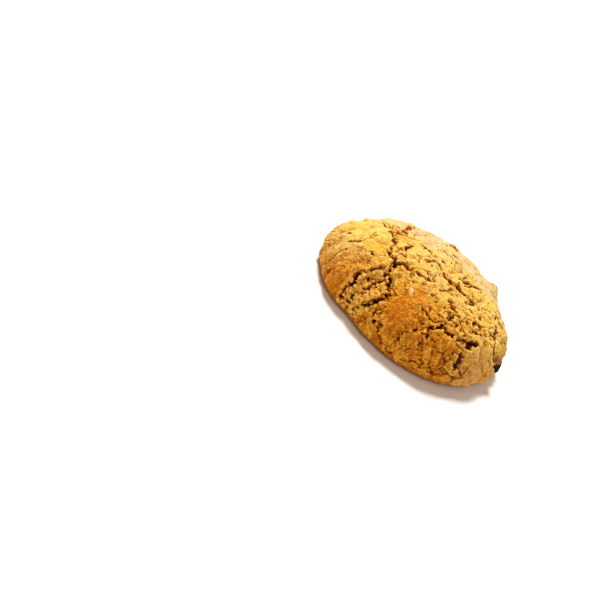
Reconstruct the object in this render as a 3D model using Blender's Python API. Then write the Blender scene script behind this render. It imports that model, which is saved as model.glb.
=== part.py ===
"""A thick, domed oatmeal cookie with raisins baked into it.

The dough is one solid: a flat underside, a rounded lower edge, an uneven round outline and a dome
that baked open along cracks. Each raisin that shows is a solid of its own, seated in a socket in the
dough. Lengths are in millimetres here and become metres as the meshes are made. +Z is up, and the
origin is on the table under the middle of the cookie.
"""

import math

import bmesh
import bpy
import numpy as np
from mathutils import Matrix, Vector, noise

MM = 0.001

# Driving dimensions of the dough
RADIUS = 35.8
HEIGHT = 23.0
RIM_HEIGHT = 4.8
FOOT_INSET = 3.2
DOME_FULLNESS = 2.25

# Where the rim swells out or is drawn in: bearing and half width in degrees, and how far in millimetres
RIM_SWELLS = (
    ("left end", 172.0, 24.0, 1.9),
    ("near left flat", 248.0, 24.0, -3.1),
    ("front right end", 322.0, 34.0, 1.9),
    ("raisin end", 4.0, 12.0, 1.1),
    ("far right flat", 38.0, 14.0, -1.1),
    ("far flat", 85.0, 30.0, -0.5),
)

# Broad swells and hollows of the dome: plan place, radius, and height along the surface
SWELLS = (
    ("left plate", -27.0, -14.0, 9.0, 0.8),
    ("opened crumb", -14.5, -24.5, 5.5, -0.7),
    ("front plate", -6.0, -32.0, 4.5, 0.6),
    ("glazed plate", 1.0, -27.0, 5.5, 0.6),
    ("front right plate", 17.0, -28.5, 4.5, 0.6),
    ("right lobe", 29.0, -18.5, 6.0, 0.9),
    ("middle plate", 17.0, -16.0, 4.0, 0.5),
    ("crown", -3.0, -3.0, 8.0, 0.4),
    ("far knob", 20.5, 21.5, 4.0, 2.0),
    ("far notch", 14.5, 22.0, 2.2, -0.6),
    ("far ridge", 1.0, 25.0, 4.0, 0.9),
    ("far left swell", -17.0, 20.0, 9.0, 0.6),
    ("back hollow", -4.0, 30.0, 6.0, -0.7),
)

# Cracks: half width, depth, then the plan points of the route
CRACKS = (
    ("rift rim", 0.8, 1.9, (-21.2, -29.0), (-20.4, -22.4), (-15.4, -18.3)),
    ("rift sill", 0.9, 2.3, (-15.0, -30.5), (-8.8, -27.4), (-7.6, -25.5)),
    ("rift pits", 0.8, 1.7, (-15.7, -27.2), (-14.2, -23.5), (-12.4, -18.6)),
    ("rift side", 0.6, 1.3, (-12.4, -18.6), (-8.4, -24.8)),
    ("north crack", 0.7, 1.6, (-12.4, -18.6), (-13.2, -13.6), (-17.2, -7.3), (-16.4, -4.0)),
    ("top crack", 0.9, 1.3, (-16.4, -4.0), (-19.5, 1.5), (-16.7, 9.5), (-17.0, 16.0)),
    ("top spots", 0.7, 1.1, (-13.3, -3.5), (-12.0, -1.6), (-15.0, 1.5)),
    ("middle crack", 0.7, 1.6, (-13.0, -14.0), (-9.2, -12.2), (-2.0, -13.0)),
    ("long crack", 0.9, 2.2, (1.8, -3.2), (6.0, -5.2), (17.0, -5.2)),
    ("crown crack", 0.4, 0.9, (-6.0, -5.5), (-1.8, -1.6), (1.8, -3.2)),
    ("branch crack", 0.7, 1.7, (9.3, -13.0), (14.4, -17.0), (12.4, -20.7), (12.4, -25.0)),
    ("branch foot", 0.7, 1.7, (12.4, -25.0), (9.3, -28.0), (10.8, -30.3)),
    ("hollow crack", 1.0, 2.5, (12.4, -25.0), (16.2, -24.5), (23.0, -20.8), (25.3, -17.8)),
    ("right crack", 0.9, 1.9, (20.8, -13.0), (24.4, -9.8), (26.0, -11.0)),
    ("fine front crack", 0.4, 0.9, (2.5, -24.0), (7.0, -25.6), (9.6, -25.4)),
    ("front plate split", 0.5, 1.1, (-8.3, -30.4), (-7.0, -32.0), (-3.8, -33.0)),
    ("front pit", 1.0, 2.4, (23.9, -23.4), (24.6, -27.0)),
    ("low front crack", 0.5, 1.1, (14.0, -34.0), (17.5, -33.0), (21.0, -31.0)),
    ("right groove", 0.9, 1.9, (26.0, 3.5), (31.0, -6.8), (32.8, -8.8), (37.5, -7.6)),
    ("far pits", 0.7, 1.1, (7.8, 0.0), (15.0, 4.8), (18.5, 8.5)),
    ("far streak", 0.7, 0.7, (0.7, 8.8), (6.0, 8.8)),
    ("left pit", 0.7, 1.3, (-31.8, -6.6), (-31.2, -5.4)),
    ("left fine crack", 0.4, 0.8, (-29.5, -11.5), (-24.6, -7.0), (-24.0, -4.0)),
    ("back crack", 1.0, 2.2, (-24.0, 22.0), (-14.0, 21.0), (-6.0, 24.5), (11.0, 25.0)),
    ("back side crack", 0.8, 1.8, (-1.0, 24.7), (6.0, 29.0), (4.0, 36.0)),
    ("far left crack", 0.8, 1.7, (-35.0, 10.0), (-27.0, 8.5), (-19.5, 1.5)),
    ("far right crack", 0.8, 1.8, (36.5, 14.0), (23.0, 9.0), (18.5, 8.5)),
)

# Where the crust broke away and coarse crumb shows: plan place and radius
CRUMB_PATCHES = (
    (-15.0, -25.0, 5.4), (-12.5, -16.0, 3.2), (-15.5, -7.0, 3.0), (-17.5, 4.5, 3.4), (-7.5, -12.5, 2.4),
    (8.0, -5.5, 2.4), (14.5, -5.0, 2.4), (13.0, -19.5, 3.0), (19.5, -21.5, 2.6), (23.8, -11.6, 3.2),
    (-14.0, 21.5, 4.0), (4.0, 24.5, 4.2), (-29.0, 9.0, 3.2), (28.0, 12.0, 3.2),
)

# Raisins that show: plan place, depth of the middle, (length, width, thickness), plan bearing in degrees
RAISINS = {
    "raisin_edge": (35.6, -6.7, -0.1, (7.0, 4.0, 3.6), -11.0),
    "raisin_hollow": (24.0, -20.0, 2.5, (6.8, 4.0, 3.0), 54.0),
    "raisin_pit": (25.0, -25.0, 2.4, (6.4, 4.2, 3.2), 90.0),
    "raisin_left": (-21.0, -14.0, 1.3, (6.2, 4.4, 3.4), 20.0),
    "raisin_back": (4.4, 25.6, 1.9, (9.0, 6.2, 4.4), 12.0),
    "raisin_back_left": (-21.0, 21.8, 1.8, (8.4, 6.0, 4.2), 30.0),
}
SOCKET_GAP = 0.3
RAISIN_FOLDS = 2.3
RAISIN_FOLD_DEPTH = 0.22
RAISIN_SHIFT = 0.37
# The dough over a raisin is this far below the raisin's top, and whole again at these shares of its width
OPENING_DEPTH = 0.5
OPENING_EDGE = (0.2, 0.5)

# The crust's own unevenness: bump width, height, and a shift that makes each set of bumps different
BUMPS = ((9.0, 0.9, 3.0), (4.2, 0.7, 17.0), (2.1, 0.35, 61.0))
# How cracks stray from their routes: width of a bend, its reach, and the shifts for the two plan directions
STRAYING = ((3.6, 1.1, 11.0, 47.0), (1.6, 0.35, 5.0, 83.0))
# How the cracks' breadth changes along them: width of a change, its share, and a shift
CRACK_BREADTH_CHANGE = (5.0, 0.6, 29.0)
# Where a crack's wall starts and ends and where its lip stands, in half widths, and the lip's height
CRACK_WALL = (0.2, 1.6)
LIP_PLACE = 2.3
LIP_HEIGHT = 0.3
# How closely a crack's route follows the dome
ROUTE_STEP = 2.0
# Open crumb: where it ends, as shares of a patch's radius, and the granules' size, height and drop
CRUMB_EDGE = (0.75, 1.15)
GRANULE_SIZE = 2.1
GRANULE_HEIGHT = 0.3
GRANULE_DROP = 1.7
# The relief fades out over this height above the table
FOOT_FADE = 3.0

# Mesh fineness
CUBE_CUTS = 89
DOUGH_TRIANGLES = 8600
RAISIN_DETAIL = 3
UNDERSIDE_DENSITY = 0.1
UNDERSIDE_SNAP = 0.12

# Finishes: linear colour and roughness
CRUST_FINISH = ((0.62, 0.32, 0.085), 0.7)
RAISIN_FINISH = ((0.035, 0.014, 0.010), 0.45)


def clear_scene():
    """Removes whatever the file opened with."""
    for old in list(bpy.data.objects):
        bpy.data.objects.remove(old)


def smooth_step(low, high, value):
    """0 below low, 1 above high, with an S curve between them."""
    t = np.clip((value - low) / (high - low), 0.0, 1.0)
    return t * t * (3.0 - 2.0 * t)


def noise_at(points, width, shift):
    """Smooth noise from -1 to 1 at each point, with bumps about this width across."""
    return np.array([noise.noise(Vector(p)) for p in points / width + shift])


def rim_radius(theta):
    """The rim's radius at each angle: RADIUS with the named swells and flats."""
    radius = np.full(np.shape(theta), RADIUS)
    for _, bearing, half_width, rise in RIM_SWELLS:
        away = (np.degrees(theta) - bearing + 180.0) % 360.0 - 180.0
        radius = radius + rise * np.exp(-((away / half_width) ** 2))
    return radius


def profile_table(steps=400):
    """The dough's section, from the top of the dome down over the edge to the middle of the underside.

    A point's radius is rim * share - FOOT_INSET * inset, and the columns are share, inset and height.
    """
    turn = np.linspace(0.0, math.pi / 2.0, steps)
    dome_share = np.sin(turn) ** (2.0 / DOME_FULLNESS)
    dome = (dome_share, np.zeros(steps), RIM_HEIGHT + (HEIGHT - RIM_HEIGHT) * np.cos(turn))
    edge = (np.ones(steps), 1.0 - np.cos(turn), RIM_HEIGHT * (1.0 - np.sin(turn)))
    inwards = np.linspace(1.0, 0.0, steps)
    underside = (inwards, inwards, np.zeros(steps))
    return [np.concatenate(parts) for parts in zip(dome, edge, underside)]


def dough_points(directions, underside_density):
    """Puts each direction from the middle of a sphere on the plain dough, thinly spread underneath."""
    share, inset, height = profile_table()
    radius = RADIUS * share - FOOT_INSET * inset
    strip = np.hypot(np.diff(radius), np.diff(height)) * (radius[1:] + radius[:-1])
    strip *= np.where(height[1:] > 0.0, 1.0, underside_density)
    covered = np.concatenate([[0.0], np.cumsum(strip)])
    covered /= covered[-1]
    place = (1.0 - directions[:, 2]) / 2.0
    share, inset, height = (np.interp(place, covered, column) for column in (share, inset, height))
    theta = np.arctan2(directions[:, 1], directions[:, 0])
    radius = rim_radius(theta) * share - FOOT_INSET * inset
    return np.stack([radius * np.cos(theta), radius * np.sin(theta), height], axis=1)


def plain_height(x, y):
    """The plain dough's height over a plan point."""
    share = math.hypot(x, y) / rim_radius(np.array([math.atan2(y, x)]))[0]
    return RIM_HEIGHT + (HEIGHT - RIM_HEIGHT) * math.sqrt(max(0.0, 1.0 - share**DOME_FULLNESS))


def swell_height(plan):
    """The broad swells and hollows, in millimetres along the surface."""
    total = np.zeros(len(plan))
    for _, x, y, radius, rise in SWELLS:
        total += rise * np.exp(-((plan[:, 0] - x) ** 2 + (plan[:, 1] - y) ** 2) / radius**2)
    return total


def lifted(route):
    """A crack's route laid on the plain dough: its plan points and points between them, with heights."""
    way = []
    for start, end in zip(route[:-1], route[1:]):
        steps = max(1, round(math.dist(start, end) / ROUTE_STEP))
        way += [np.add(start, np.subtract(end, start) * k / steps) for k in range(steps)]
    way.append(np.array(route[-1]))
    return [np.array([x, y, plain_height(x, y)]) for x, y in way]


def distance_to_route(points, route):
    """How far each point is from a crack's route."""
    nearest = np.full(len(points), np.inf)
    way = lifted(route)
    for start, end in zip(way[:-1], way[1:]):
        along = end - start
        t = np.clip((points - start) @ along / (along @ along), 0.0, 1.0)
        nearest = np.minimum(nearest, np.linalg.norm(points - start - t[:, None] * along, axis=1))
    return nearest


def crack_height(points):
    """The cracks, with ragged sides and lips that the rising crumb pushed up, in millimetres."""
    strayed = points.copy()
    for width, reach, shift_x, shift_y in STRAYING:
        strayed[:, 0] += reach * noise_at(points, width, shift_x)
        strayed[:, 1] += reach * noise_at(points, width, shift_y)
    width, change, shift = CRACK_BREADTH_CHANGE
    breadth = 1.0 + change * noise_at(points, width, shift)
    carved, lip = np.zeros(len(points)), np.zeros(len(points))
    for _, half_width, depth, *route in CRACKS:
        share = distance_to_route(strayed, route) / (half_width * breadth)
        carved = np.maximum(carved, depth * (1.0 - smooth_step(*CRACK_WALL, share)))
        lip = np.maximum(lip, LIP_HEIGHT * np.exp(-((share - LIP_PLACE) ** 2)))
    return lip * (carved <= 0.0) - carved


def crumb_share(points):
    """1 where open crumb shows, 0 on whole crust."""
    shares = [
        1.0 - smooth_step(*CRUMB_EDGE, np.hypot(points[:, 0] - x, points[:, 1] - y) / radius)
        for x, y, radius in CRUMB_PATCHES
    ]
    return np.max(shares, axis=0)


def crumb_height(points):
    """Coarse granules with gaps between them, in millimetres."""
    nearest = [noise.voronoi(Vector(p))[0][0] for p in points / GRANULE_SIZE]
    return GRANULE_HEIGHT - GRANULE_DROP * np.square(nearest)


def open_over_raisins(points, height):
    """Lowers the surface over each raisin to just below the raisin's top, so that it shows."""
    for x, y, depth, (_, width, thickness), _ in RAISINS.values():
        level = thickness / 2.0 - depth - OPENING_DEPTH
        reach = np.linalg.norm(points - np.array([x, y, plain_height(x, y)]), axis=1) / width
        share = 1.0 - smooth_step(*OPENING_EDGE, reach)
        height = height - share * np.maximum(0.0, height - level)
    return height


def relief(points):
    """The height of the baked surface above the plain dough, in millimetres."""
    total = swell_height(points) + crack_height(points) + crumb_share(points) * crumb_height(points)
    for width, height, shift in BUMPS:
        total += height * noise_at(points, width, shift)
    above_foot = smooth_step(0.0, FOOT_FADE, points[:, 2])
    return open_over_raisins(points, total * above_foot)


def ball_mesh(name, cuts):
    """A cube with each side cut into a grid and blown up to a ball."""
    shape = bmesh.new()
    bmesh.ops.create_cube(shape, size=2.0)
    bmesh.ops.subdivide_edges(shape, edges=shape.edges[:], cuts=cuts, use_grid_fill=True)
    bmesh.ops.triangulate(shape, faces=shape.faces[:])
    for vertex in shape.verts:
        even = Vector(math.tan(c * math.pi / 4.0) for c in vertex.co)
        vertex.co = even.normalized()
    mesh = bpy.data.meshes.new(name)
    shape.to_mesh(mesh)
    shape.free()
    return mesh


def vertex_array(mesh, attribute):
    """A mesh's vertex positions or normals as rows of three."""
    values = np.zeros(len(mesh.vertices) * 3, np.float32)
    mesh.vertices.foreach_get(attribute, values)
    return values.reshape(-1, 3).astype(float)


def set_vertices(mesh, points_mm):
    """Moves a mesh's vertices to these places, given in millimetres."""
    mesh.vertices.foreach_set("co", (points_mm * MM).astype(np.float32).ravel())
    mesh.update()


def baked_dough():
    """The dough at full fineness, before it is simplified."""
    mesh = ball_mesh("dough_fine", CUBE_CUTS)
    points = dough_points(vertex_array(mesh, "co"), UNDERSIDE_DENSITY)
    set_vertices(mesh, points)
    normals = vertex_array(mesh, "normal")
    set_vertices(mesh, points + relief(points)[:, None] * normals)
    return mesh


def flatten_underside(mesh):
    """Puts the points that the simplifying left next to the table exactly on it."""
    points = vertex_array(mesh, "co") / MM
    points[points[:, 2] < UNDERSIDE_SNAP, 2] = 0.0
    set_vertices(mesh, points)


def surface(name, colour, roughness):
    """A plain finish for one kind of piece."""
    finish = bpy.data.materials.new(name)
    finish.use_nodes = True
    shader = finish.node_tree.nodes["Principled BSDF"]
    shader.inputs["Base Color"].default_value = (*colour, 1.0)
    shader.inputs["Roughness"].default_value = roughness
    finish.diffuse_color = (*colour, 1.0)
    return finish


def add_object(name, mesh, finish):
    """Puts a mesh in the scene as a named object with its finish."""
    thing = bpy.data.objects.new(name, mesh)
    bpy.context.scene.collection.objects.link(thing)
    if finish is not None:
        mesh.materials.append(finish)
    return thing


def add_cookie(finish):
    """The dough: the baked surface, simplified to few triangles, with its underside flat on the table."""
    fine = add_object("dough_fine", baked_dough(), None)
    simplify = fine.modifiers.new("fewer triangles", "DECIMATE")
    simplify.ratio = DOUGH_TRIANGLES / len(fine.data.polygons)
    simplify.use_collapse_triangulate = True
    mesh = bpy.data.meshes.new_from_object(fine.evaluated_get(bpy.context.evaluated_depsgraph_get()))
    mesh.name = "cookie"
    bpy.data.objects.remove(fine)
    flatten_underside(mesh)
    mesh.shade_smooth()
    return add_object("cookie", mesh, finish)


def raisin_mesh(name, size, grow, wrinkle):
    """A wrinkled oval of this length, width and thickness, grown all round by a gap."""
    shape = bmesh.new()
    bmesh.ops.create_icosphere(shape, subdivisions=RAISIN_DETAIL, radius=1.0)
    shift = Vector((sum(map(ord, name)) * RAISIN_SHIFT, 0.0, 0.0))
    for vertex in shape.verts:
        direction = vertex.co.copy()
        fold = abs(noise.noise(direction * RAISIN_FOLDS + shift)) * wrinkle
        vertex.co = Vector((s / 2.0 * (1.0 - fold) + grow) * c for s, c in zip(size, direction)) * MM
    mesh = bpy.data.meshes.new(name)
    shape.to_mesh(mesh)
    shape.free()
    mesh.shade_smooth()
    return mesh


def seat(x, y, depth, bearing_degrees, step=0.05):
    """The place and turn of a raisin seated over a plan point, its middle sunk by depth."""
    slope_x = (plain_height(x + step, y) - plain_height(x - step, y)) / (2.0 * step)
    slope_y = (plain_height(x, y + step) - plain_height(x, y - step)) / (2.0 * step)
    outward = Vector((-slope_x, -slope_y, 1.0)).normalized()
    bearing = math.radians(bearing_degrees)
    cos_b, sin_b = math.cos(bearing), math.sin(bearing)
    along = Vector((cos_b, sin_b, slope_x * cos_b + slope_y * sin_b)).normalized()
    turn = Matrix((along, outward.cross(along), outward)).transposed()
    middle = Vector((x, y, plain_height(x, y))) - depth * outward
    return Matrix.Translation(middle * MM) @ turn.to_4x4()


def cut_socket(cookie, name, size, pose):
    """Cuts the hollow that a raisin sits in, a little larger than the raisin."""
    cutter = add_object(name + "_socket", raisin_mesh(name + "_socket", size, SOCKET_GAP, 0.0), None)
    cutter.matrix_world = pose
    cutter.hide_render = True
    cutter.display_type = "WIRE"
    cut = cookie.modifiers.new(name + " socket", "BOOLEAN")
    cut.operation = "DIFFERENCE"
    cut.solver = "EXACT"
    cut.object = cutter


def main():
    clear_scene()
    crust = surface("golden_crust", *CRUST_FINISH)
    raisin_skin = surface("raisin_skin", *RAISIN_FINISH)
    cookie = add_cookie(crust)
    for name, (x, y, depth, size, bearing) in RAISINS.items():
        pose = seat(x, y, depth, bearing)
        raisin = add_object(name, raisin_mesh(name, size, 0.0, RAISIN_FOLD_DEPTH), raisin_skin)
        raisin.matrix_world = pose
        cut_socket(cookie, name, size, pose)


main()
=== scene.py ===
"""The looks of a thick, domed oatmeal cookie: crackled golden crust, coarse crumb, raisins and oats."""

import math
from collections import namedtuple

import bmesh
import bpy
import numpy as np
from mathutils import Matrix, Vector, noise


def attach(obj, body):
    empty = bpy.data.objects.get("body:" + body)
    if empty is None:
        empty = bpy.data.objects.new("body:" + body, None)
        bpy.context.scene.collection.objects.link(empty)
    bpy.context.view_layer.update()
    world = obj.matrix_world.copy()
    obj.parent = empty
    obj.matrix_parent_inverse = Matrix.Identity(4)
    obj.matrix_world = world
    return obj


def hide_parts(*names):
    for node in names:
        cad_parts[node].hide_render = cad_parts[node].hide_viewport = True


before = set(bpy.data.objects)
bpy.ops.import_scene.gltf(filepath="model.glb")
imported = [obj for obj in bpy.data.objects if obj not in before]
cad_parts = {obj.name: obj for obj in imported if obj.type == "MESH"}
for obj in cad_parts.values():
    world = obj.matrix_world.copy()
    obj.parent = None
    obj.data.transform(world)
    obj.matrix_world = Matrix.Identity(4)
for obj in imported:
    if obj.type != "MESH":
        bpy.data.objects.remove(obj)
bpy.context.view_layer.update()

MM = 0.001

# The dough's driving dimensions, in millimetres, as in the solids
RADIUS = 35.8
HEIGHT = 23.0
RIM_HEIGHT = 4.8
FOOT_INSET = 3.2
DOME_FULLNESS = 2.25

# Where the rim swells out or is drawn in: bearing and half width in degrees, and how far
RIM_SWELLS = (
    (172.0, 24.0, 1.9), (248.0, 24.0, -3.1), (322.0, 34.0, 1.9), (4.0, 12.0, 1.1), (38.0, 14.0, -1.1),
    (85.0, 30.0, -0.5),
)

# Broad swells and hollows of the dome: plan place, radius, height
SWELLS = (
    (-27.0, -14.0, 9.0, 0.8), (-14.5, -24.5, 5.5, -0.7), (-6.0, -32.0, 4.5, 0.6), (1.0, -27.0, 5.5, 0.6),
    (17.0, -28.5, 4.5, 0.6), (29.0, -18.5, 6.0, 0.9), (17.0, -16.0, 4.0, 0.5), (-3.0, -3.0, 8.0, 0.4),
    (20.5, 21.5, 4.0, 2.0), (14.5, 22.0, 2.2, -0.6), (1.0, 25.0, 4.0, 0.9), (-17.0, 20.0, 9.0, 0.6),
    (-4.0, 30.0, 6.0, -0.7),
)

# Main cracks: half width, depth, then the plan points of the route
CRACKS = (
    ("rift rim", 0.8, 1.9, (-21.2, -29.0), (-20.4, -22.4), (-15.4, -18.3)),
    ("rift sill", 0.9, 2.3, (-15.0, -30.5), (-8.8, -27.4), (-7.6, -25.5)),
    ("rift pits", 0.8, 1.7, (-15.7, -27.2), (-14.2, -23.5), (-12.4, -18.6)),
    ("rift side", 0.6, 1.3, (-12.4, -18.6), (-8.4, -24.8)),
    ("north crack", 0.7, 1.6, (-12.4, -18.6), (-13.2, -13.6), (-17.2, -7.3), (-16.4, -4.0)),
    ("top crack", 0.9, 1.3, (-16.4, -4.0), (-19.5, 1.5), (-16.7, 9.5), (-17.0, 16.0)),
    ("top spots", 0.5, 0.6, (-13.3, -3.5), (-12.0, -1.6), (-15.0, 1.5)),
    ("middle crack", 0.7, 1.6, (-13.0, -14.0), (-9.2, -12.2), (-2.0, -13.0)),
    ("long crack", 0.9, 2.2, (1.8, -3.2), (6.0, -5.2), (17.0, -5.2)),
    ("crown crack", 0.4, 0.9, (-6.0, -5.5), (-1.8, -1.6), (1.8, -3.2)),
    ("branch crack", 0.7, 1.7, (9.3, -13.0), (14.4, -17.0), (12.4, -20.7), (12.4, -25.0)),
    ("branch foot", 0.7, 1.7, (12.4, -25.0), (9.3, -28.0), (10.8, -30.3)),
    ("hollow crack", 1.0, 2.5, (12.4, -25.0), (16.2, -24.5), (23.0, -20.8), (25.3, -17.8)),
    ("right crack", 0.9, 1.9, (20.8, -13.0), (24.4, -9.8), (26.0, -11.0)),
    ("fine front crack", 0.4, 0.9, (2.5, -24.0), (7.0, -25.6), (9.6, -25.4)),
    ("front plate split", 0.5, 1.1, (-8.3, -30.4), (-7.0, -32.0), (-3.8, -33.0)),
    ("front pit", 1.0, 2.4, (23.9, -23.4), (24.6, -27.0)),
    ("low front crack", 0.5, 1.1, (14.0, -34.0), (17.5, -33.0), (21.0, -31.0)),
    ("right groove", 0.9, 1.9, (26.0, 3.5), (31.0, -6.8), (32.8, -8.8), (37.5, -7.6)),
    ("far pits", 0.7, 1.1, (7.8, 0.0), (15.0, 4.8), (18.5, 8.5)),
    ("far streak", 0.7, 0.15, (0.7, 8.8), (6.0, 8.8)),
    ("left pit", 0.7, 1.3, (-31.8, -6.6), (-31.2, -5.4)),
    ("left fine crack", 0.4, 0.8, (-29.5, -11.5), (-24.6, -7.0), (-24.0, -4.0)),
    ("back crack", 0.8, 1.6, (-24.0, 22.0), (-14.0, 21.0), (-6.0, 24.5), (11.0, 25.0)),
    ("back side crack", 0.6, 1.3, (-1.0, 24.7), (6.0, 29.0), (4.0, 36.0)),
    ("far left crack", 0.6, 1.2, (-35.0, 10.0), (-27.0, 8.5), (-19.5, 1.5)),
    ("far right crack", 0.6, 1.2, (36.5, 14.0), (23.0, 9.0), (18.5, 8.5)),
)

# Fine cracks that only the finished crust has: half width, depth, route
FINE_CRACKS = (
    ("left rim crack", 0.28, 0.9, (-32.4, -15.7), (-30.6, -16.3), (-30.4, -15.4), (-28.7, -14.0)),
    ("left crease", 0.40, 0.6, (-30.0, -10.6), (-28.5, -10.8), (-26.9, -10.4)),
    ("left line", 0.25, 0.8, (-24.4, -1.8), (-24.9, -5.1), (-25.1, -7.4)),
    ("left hole", 0.50, 1.6, (-32.1, -4.2), (-32.0, -6.0)),
    ("rift shelf", 0.40, 1.2, (-15.4, -18.3), (-12.6, -15.4), (-11.2, -13.2)),
    ("crown spots", 0.40, 1.0, (-4.4, -4.8), (-2.2, -1.8)),
    ("middle spur", 0.28, 0.8, (-2.0, -13.0), (0.6, -11.6)),
    ("glaze edge", 0.25, 0.7, (-6.6, -29.0), (-6.4, -31.0), (-3.6, -33.6)),
    ("plate seam", 0.28, 0.8, (7.0, -25.6), (10.0, -25.3), (11.2, -23.4)),
    ("branch spots", 0.45, 1.2, (11.6, -17.6), (13.4, -18.4)),
    ("hollow spur", 0.45, 1.3, (15.2, -20.4), (16.8, -19.6), (18.8, -20.6)),
    ("right spur", 0.40, 1.2, (22.6, -15.4), (25.8, -13.2), (27.0, -10.6)),
    ("right specks", 0.35, 0.9, (27.2, -7.8), (29.8, -5.0)),
    ("sill end", 0.40, 1.4, (-16.4, -30.0), (-15.3, -29.3), (-13.9, -29.4), (-12.2, -28.9)),
    ("corner hole", 0.35, 1.3, (-8.5, -30.7), (-7.7, -31.5)),
    ("corner split", 0.25, 0.9, (-7.7, -31.5), (-5.9, -32.5), (-3.3, -33.6)),
    ("low marks", 0.25, 0.8, (17.8, -31.7), (18.3, -31.8)),
    ("front seam", 0.25, 0.8, (14.0, -30.6), (16.6, -32.6)),
    ("lobe gap", 0.45, 1.6, (31.1, -6.0), (31.3, -8.1), (32.4, -8.6), (33.9, -8.2), (35.1, -8.4)),
    ("lobe hollow", 0.60, 0.5, (25.0, 5.8), (26.6, 4.5)),
    ("lobe spots", 0.40, 0.9, (30.0, 1.6), (31.1, -0.8)),
    ("far specks", 0.35, 0.8, (11.0, -0.8), (13.6, 3.0), (16.6, 6.4)),
)

# Where the crust broke away and coarse crumb shows: plan place and radius
CRUMB_PATCHES = (
    (-15.0, -25.0, 5.4), (-18.2, -28.6, 3.6), (-12.5, -16.0, 3.2), (-15.5, -7.0, 3.0), (-17.5, 4.5, 3.4),
    (-7.5, -12.5, 2.4), (8.0, -5.5, 2.4), (14.5, -5.0, 2.4), (13.0, -19.5, 3.0), (19.5, -21.5, 2.6),
    (23.8, -11.6, 3.2), (-15.0, 26.5, 2.8), (6.0, 29.5, 3.2), (31.5, 13.5, 2.4),
)

# Where the crust stayed whole and smooth: plan place, radius and strength
SMOOTH_PATCHES = (
    (29.9, -16.5, 5.0, 0.9), (31.3, -21.0, 5.0, 0.8), (-28.0, -1.0, 9.0, 1.0), (-22.0, -8.0, 6.0, 0.8),
    (-31.0, 7.0, 6.0, 0.8), (-31.0, -13.0, 6.0, 0.8), (-26.5, -21.0, 5.0, 0.7), (-2.0, -28.5, 5.5, 0.9),
    (9.0, 14.0, 7.0, 0.7), (-10.0, 12.0, 7.0, 0.6), (31.5, -16.5, 5.0, 0.5), (24.0, 9.0, 6.5, 0.7),
    (1.0, -18.5, 3.2, 0.7), (-24.0, 15.0, 8.0, 0.8), (-9.0, 22.0, 7.0, 0.8), (8.0, 21.0, 6.0, 0.8),
    (12.0, 32.0, 6.0, 0.7), (27.0, 16.0, 6.0, 0.6), (33.0, -1.0, 4.0, 0.5), (32.0, 9.0, 5.0, 0.7),
    (20.0, 17.0, 5.0, 0.6),
)

# Patches of darker glazed crust, on the lower left also painted shade: plan place, radius and strength
GLAZE_AND_SHADE_PATCHES = (
    (-3.0, -28.6, 5.0, 1.0), (1.5, -30.5, 4.6, 0.9), (0.3, -20.3, 3.4, 0.8), (7.5, -31.5, 3.2, 0.7),
    (17.0, -29.5, 3.8, 0.9), (21.0, -30.0, 3.0, 0.7), (-31.0, -17.0, 4.6, 0.9), (-26.0, -23.0, 4.8, 1.0),
    (-22.4, -7.0, 1.4, 0.8), (-20.6, -7.0, 1.4, 0.9), (-17.0, 6.5, 3.4, 0.7), (-19.0, 2.0, 2.4, 0.6),
    (26.8, -13.2, 2.2, 0.8), (-7.5, -32.0, 3.0, 0.6), (12.0, -33.0, 4.6, 0.6), (-24.5, -18.0, 3.0, 0.5),
    (9.5, -8.0, 3.0, 0.3), (-12.0, -8.0, 2.6, 0.5), (17.5, -14.0, 2.6, 0.6), (15.0, 30.0, 5.0, 0.7),
    (-30.0, 20.0, 5.0, 0.6), (-8.0, 33.0, 5.0, 0.6), (-12.5, -31.0, 3.6, 0.5), (8.0, -27.5, 2.6, 0.5),
    (33.0, 3.0, 3.0, 0.4), (5.0, 8.5, 2.6, 0.5), (-30.5, -9.0, 3.0, 0.3),
)

# Patches of paler, pinkish colour: plan place, radius and strength
PINKISH_PATCHES = (
    (-25.0, -15.0, 3.0, 0.5), (30.0, -19.0, 4.6, 0.7), (26.5, -25.0, 3.2, 0.6), (-34.0, -9.0, 3.0, 0.5),
    (33.5, -11.0, 3.0, 0.4), (20.0, 27.0, 5.0, 0.4),
)

# Raisins that show: plan place, depth of the middle, (length, width, thickness), plan bearing in degrees
RAISINS = {
    "raisin_edge": (35.6, -6.7, -0.1, (7.0, 4.0, 3.6), -11.0),
    "raisin_hollow": (24.0, -20.0, 2.5, (6.8, 4.0, 3.0), 54.0),
    "raisin_pit": (25.0, -25.0, 2.4, (6.4, 4.2, 3.2), 90.0),
    "raisin_left": (-21.0, -14.0, 1.3, (6.2, 4.4, 3.4), 20.0),
    "raisin_back": (4.4, 25.6, 1.9, (9.0, 6.2, 4.4), 12.0),
    "raisin_back_left": (-21.0, 21.8, 1.8, (8.4, 6.0, 4.2), 30.0),
}
# The crust over a raisin ends this far below its top. It is open within the first share of the raisin's
# width and whole from the second, and some raisins have shares of their own
OPENING_DEPTH = 0.5
OPENING_EDGE = (0.2, 0.5)
OPENING_EDGES = {"raisin_left": (0.10, 0.24)}

# The crust's unevenness: bump width, height and shift
BUMPS = ((9.0, 0.9, 3.0), (4.2, 0.7, 17.0), (2.1, 0.35, 61.0))
# How cracks stray from their routes, and how ragged their edges are: width of a bend, its reach, two shifts
STRAYING = ((3.6, 1.1, 11.0, 47.0), (1.6, 0.35, 5.0, 83.0))
RAGGED_EDGES = ((0.9, 0.34, 7.0, 91.0), (0.45, 0.16, 19.0, 67.0))
# How a crack's breadth changes along it: width of a change, its share and shift
CRACK_BREADTH_CHANGE = (5.0, 0.6, 29.0)
CRACK_NARROWING = 0.92
CRACK_DEEPENING = 1.5
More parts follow.
